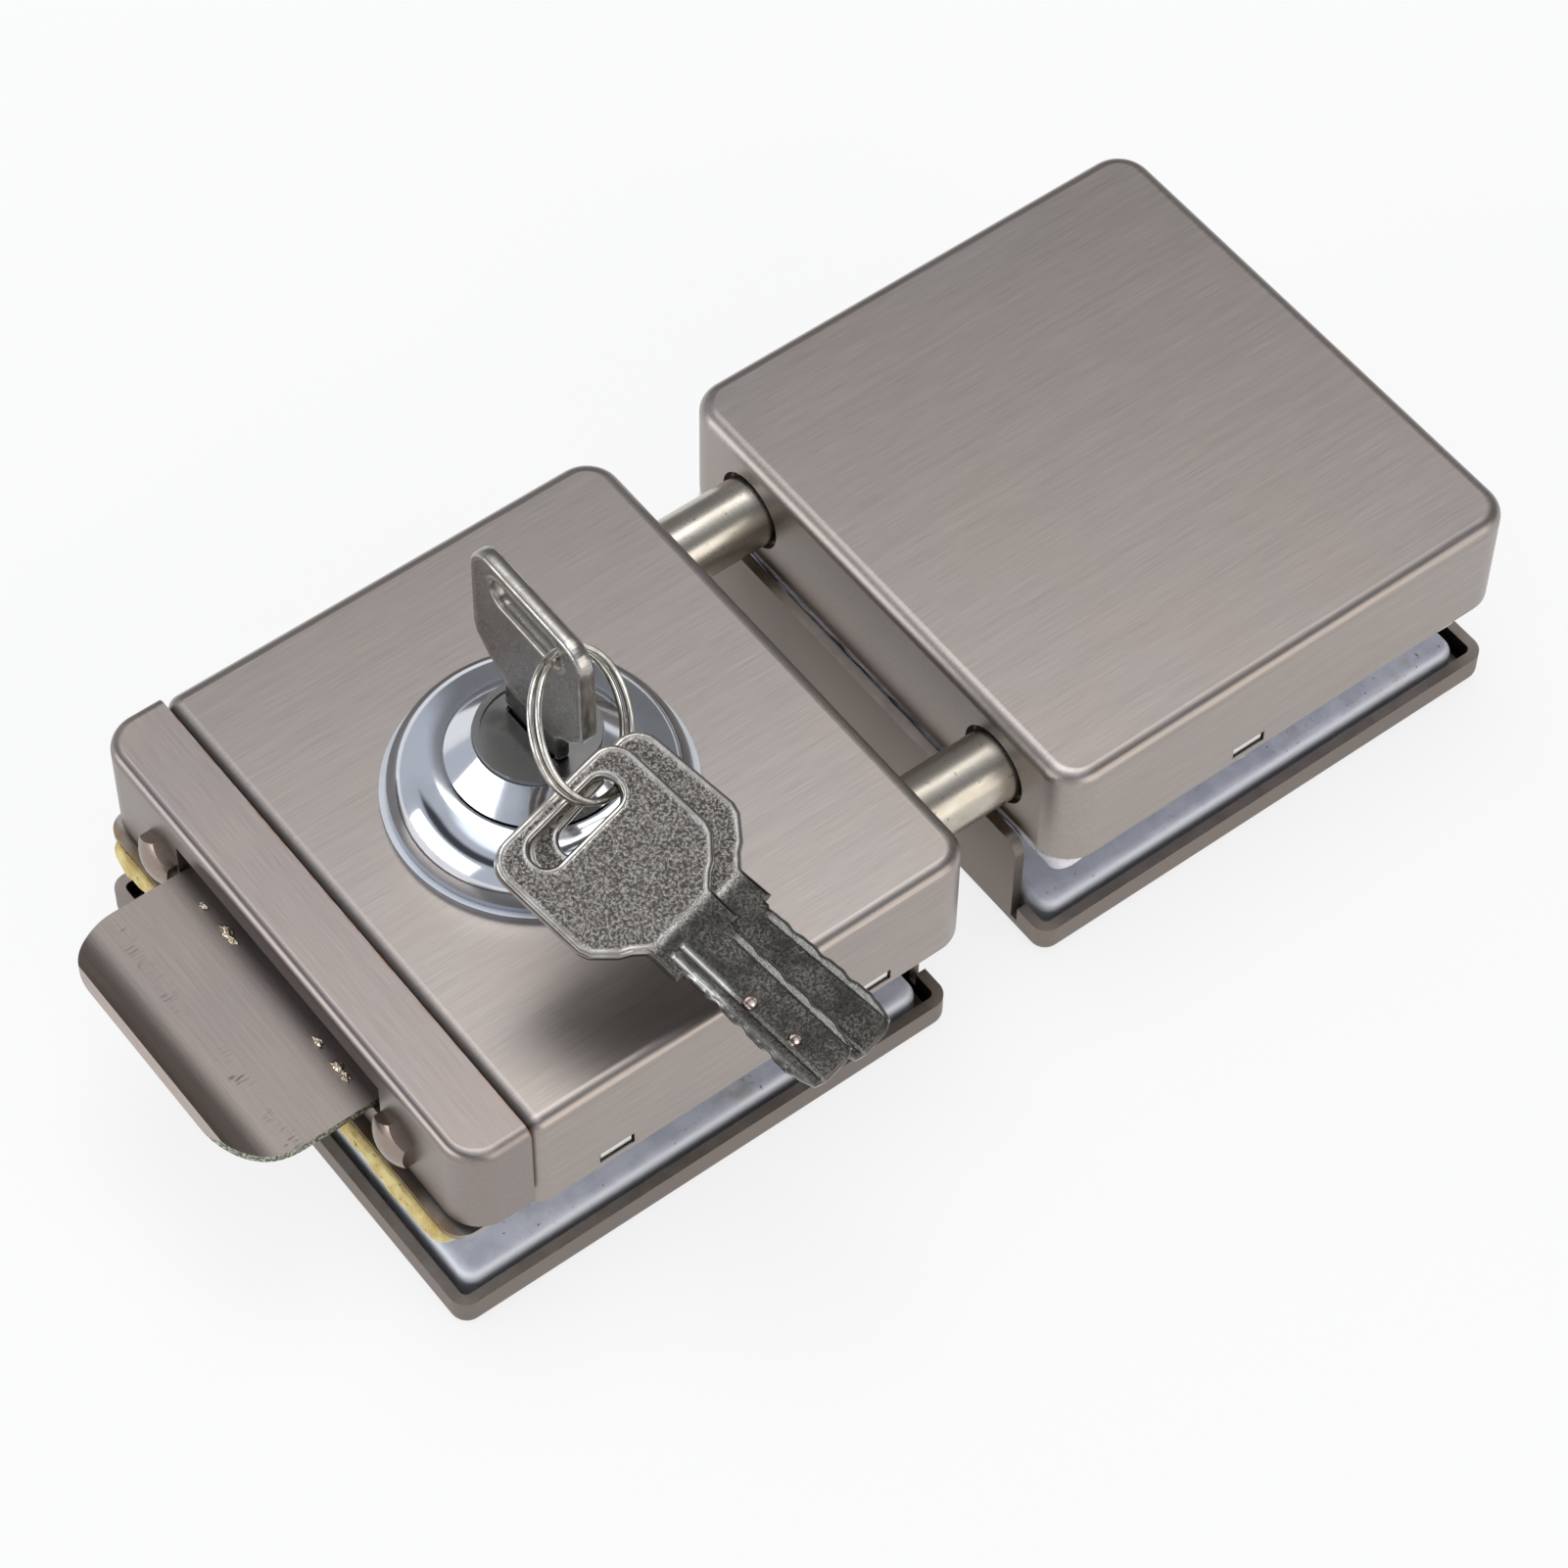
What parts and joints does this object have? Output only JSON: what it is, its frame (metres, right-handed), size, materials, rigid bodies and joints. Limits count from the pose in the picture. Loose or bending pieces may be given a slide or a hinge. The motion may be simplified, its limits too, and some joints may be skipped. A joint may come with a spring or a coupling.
{
  "type": "glass door lock",
  "caption": "Clamp-on lock for a pair of glass doors: a lock box with key cylinder and pull tab, a strike box, sliding round bolts, and keys on a split ring.",
  "frame": {"origin": "where the axis of the key cylinder meets the plane of the rear covers' outer faces", "axes": "+X from the lock box to the strike box along the bolts, +Y to the rear end of the boxes, +Z out of the key side"},
  "size_m": [0.1858, 0.0994, 0.075],
  "materials": {
    "cover_steel": "satin nickel over steel, fine straight brushing",
    "tab_steel": "darker satin nickel, brushed across",
    "rear_steel": "warm grey satin steel with raw cut rims",
    "zinc_steel": "bluish zinc plating",
    "chrome": "polished chrome plating",
    "bolt_nickel": "nickel plating with light tarnish",
    "key_nickel": "nickel plating, grained in the recesses",
    "pad_foam": "cream foam with an adhesive face",
    "brass": "turned brass",
    "plain_steel": "plain machined steel",
    "bush_plastic": "white moulded plastic"
  },
  "bodies": {
    "lock": {"bar_strap_front": "zinc_steel", "bar_strap_rear": "zinc_steel", "cylinder_body": "chrome", "cylinder_nut": "brass", "driver_pins": "brass", "lock_base_plate": "cover_steel", "lock_clamp_nut_front": "zinc_steel", "lock_clamp_nut_rear": "zinc_steel", "lock_clamp_plate": "zinc_steel", "lock_clamp_screw_front": "zinc_steel", "lock_clamp_screw_rear": "zinc_steel", "lock_cover": "cover_steel", "lock_glass_pad": "pad_foam", "lock_guide_left": "zinc_steel", "lock_guide_right": "zinc_steel", "lock_left_bush_front": "bush_plastic", "lock_left_bush_rear": "bush_plastic", "lock_rear_cover": "rear_steel", "lock_right_bush_front": "bush_plastic", "lock_right_bush_rear": "bush_plastic", "lock_screw_sleeve_front": "zinc_steel", "lock_screw_sleeve_rear": "zinc_steel", "pin_springs": "plain_steel", "rosette": "chrome"},
    "strike": {"strike_base_plate": "cover_steel", "strike_bush_front": "bush_plastic", "strike_bush_rear": "bush_plastic", "strike_clamp_nut_front": "zinc_steel", "strike_clamp_nut_rear": "zinc_steel", "strike_clamp_plate": "zinc_steel", "strike_clamp_screw_front": "zinc_steel", "strike_clamp_screw_rear": "zinc_steel", "strike_cover": "cover_steel", "strike_glass_pad": "pad_foam", "strike_keeper": "zinc_steel", "strike_rear_cover": "rear_steel", "strike_screw_sleeve_front": "zinc_steel", "strike_screw_sleeve_rear": "zinc_steel"},
    "plug": {"plug": "chrome", "key_pins": "brass", "cam": "plain_steel", "cam_screw_left": "plain_steel", "cam_screw_right": "plain_steel"},
    "bolt_carriage": {"end_cap": "cover_steel", "pull_tab": "tab_steel", "rod_yoke": "zinc_steel", "rod_front": "bolt_nickel", "rod_rear": "bolt_nickel", "cap_screw_front": "bolt_nickel", "cap_screw_rear": "bolt_nickel"},
    "front_bar": {"locking_bar_front": "plain_steel"},
    "rear_bar": {"locking_bar_rear": "plain_steel"},
    "key": {"key_inserted": "key_nickel"},
    "ring": {"split_ring": "key_nickel"},
    "spare_one": {"spare_key_1": "key_nickel"},
    "spare_two": {"spare_key_2": "key_nickel"}
  },
  "joints": [
    {"name": "bolt_slide", "type": "slide", "parent": "lock", "child": "bolt_carriage", "axis": [-1, 0, 0], "range_m": [0, 0.024]},
    {"name": "key_turn", "type": "hinge", "parent": "lock", "child": "plug", "pos_m": [0, 0, 0.036], "axis": [0, 0, 1], "range_deg": [0, 90]},
    {"name": "front_bar_slide", "type": "slide", "parent": "lock", "child": "front_bar", "axis": [0, -1, 0], "range_m": [0, 0.00495]},
    {"name": "rear_bar_slide", "type": "slide", "parent": "lock", "child": "rear_bar", "axis": [0, 1, 0], "range_m": [0, 0.00495]},
    {"name": "strike_slide", "type": "slide", "parent": "lock", "child": "strike", "axis": [1, 0, 0], "range_m": [-0.006, 0.03]},
    {"name": "key_withdraw", "type": "slide", "parent": "plug", "child": "key", "axis": [0, 0, 1], "range_m": [0, 0.028]},
    {"name": "ring_swing", "type": "hinge", "parent": "key", "child": "ring", "pos_m": [-0.00129, -0.01162, 0.06344], "axis": [0.4785, -0.6976, 0.5333], "range_deg": [-20, 15]},
    {"name": "spare_key_1_swing", "type": "hinge", "parent": "ring", "child": "spare_one", "pos_m": [-0.00129, -0.01162, 0.06344], "axis": [0.4785, -0.6976, 0.5333], "range_deg": [-20, 0]},
    {"name": "spare_key_2_swing", "type": "hinge", "parent": "ring", "child": "spare_two", "pos_m": [-0.00129, -0.01162, 0.06344], "axis": [0.4785, -0.6976, 0.5333], "range_deg": [0, 15]}
  ],
  "couplings": [
    {"joint": "front_bar_slide", "follows": "key_turn", "m_per_rad": 0.0031513},
    {"joint": "rear_bar_slide", "follows": "key_turn", "m_per_rad": 0.0031513}
  ]
}
